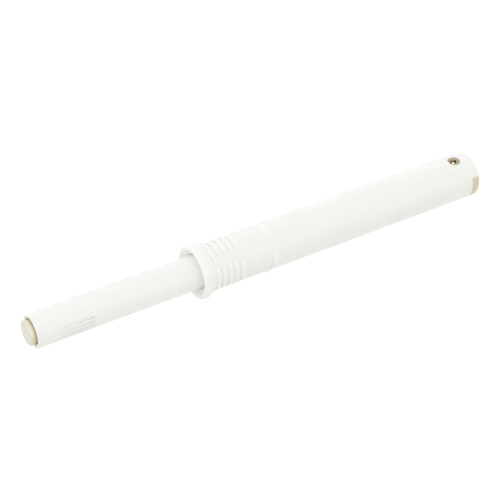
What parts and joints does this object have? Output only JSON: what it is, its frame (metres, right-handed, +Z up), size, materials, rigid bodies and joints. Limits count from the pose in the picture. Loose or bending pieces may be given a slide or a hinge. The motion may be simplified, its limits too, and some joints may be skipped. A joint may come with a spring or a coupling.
{
  "type": "push to open catch",
  "caption": "Push-to-open catch for a drilled hole: flanged, barbed sleeve with a sprung latching plunger that carries a magnet in its tip.",
  "frame": {"origin": "on the catch's axis, in the plane of the flange's back face, where it seats on the panel", "axes": "+X along the axis into the drilled hole, with the plunger pointing to -X; +Z up through the round window over the follower wire's leg"},
  "size_m": [0.1066, 0.0118, 0.0118],
  "materials": {
    "sleeve_plastic": "white moulded acetal, satin",
    "tube_plastic": "white moulded acetal, satin",
    "plug_plastic": "beige moulded acetal, satin",
    "core_plastic": "beige moulded acetal, satin",
    "spring_steel": "drawn spring steel",
    "wire_steel": "bright drawn steel wire",
    "cap_nickel": "nickel plated, satin",
    "magnet_nickel": "nickel plated magnet"
  },
  "bodies": {
    "sleeve": {"housing": "sleeve_plastic", "end_plug": "plug_plastic", "main_spring": "spring_steel"},
    "follower": {"follower_wire": "wire_steel"},
    "core": {"cam_core": "core_plastic"},
    "tube": {"plunger_tube": "tube_plastic"},
    "magnet_unit": {"pole_cap": "cap_nickel", "tip_magnet": "magnet_nickel", "magnet_seat": "core_plastic"}
  },
  "joints": [
    {"name": "push_travel", "type": "slide", "parent": "sleeve", "child": "core", "axis": [1, 0, 0], "range_m": [0, 0.0357], "stiffness_N_per_m": 110, "springref_m": -0.012, "deforming": ["main_spring"]},
    {"name": "follower_swing", "type": "hinge", "parent": "sleeve", "child": "follower", "pos_m": [0.0637, 0, 0], "axis": [0, 0, 1], "range_deg": [0, 3.6]},
    {"name": "depth_turn", "type": "hinge", "parent": "core", "child": "tube", "pos_m": [0, 0, 0], "axis": [1, 0, 0], "range_deg": [-288.5, 864.5]},
    {"name": "depth_shift", "type": "slide", "parent": "core", "child": "magnet_unit", "axis": [-1, 0, 0], "range_m": [-0.0008, 0.0024]}
  ],
  "couplings": [
    {"joint": "depth_turn", "follows": "depth_shift", "rad_per_m": 6283.2}
  ]
}
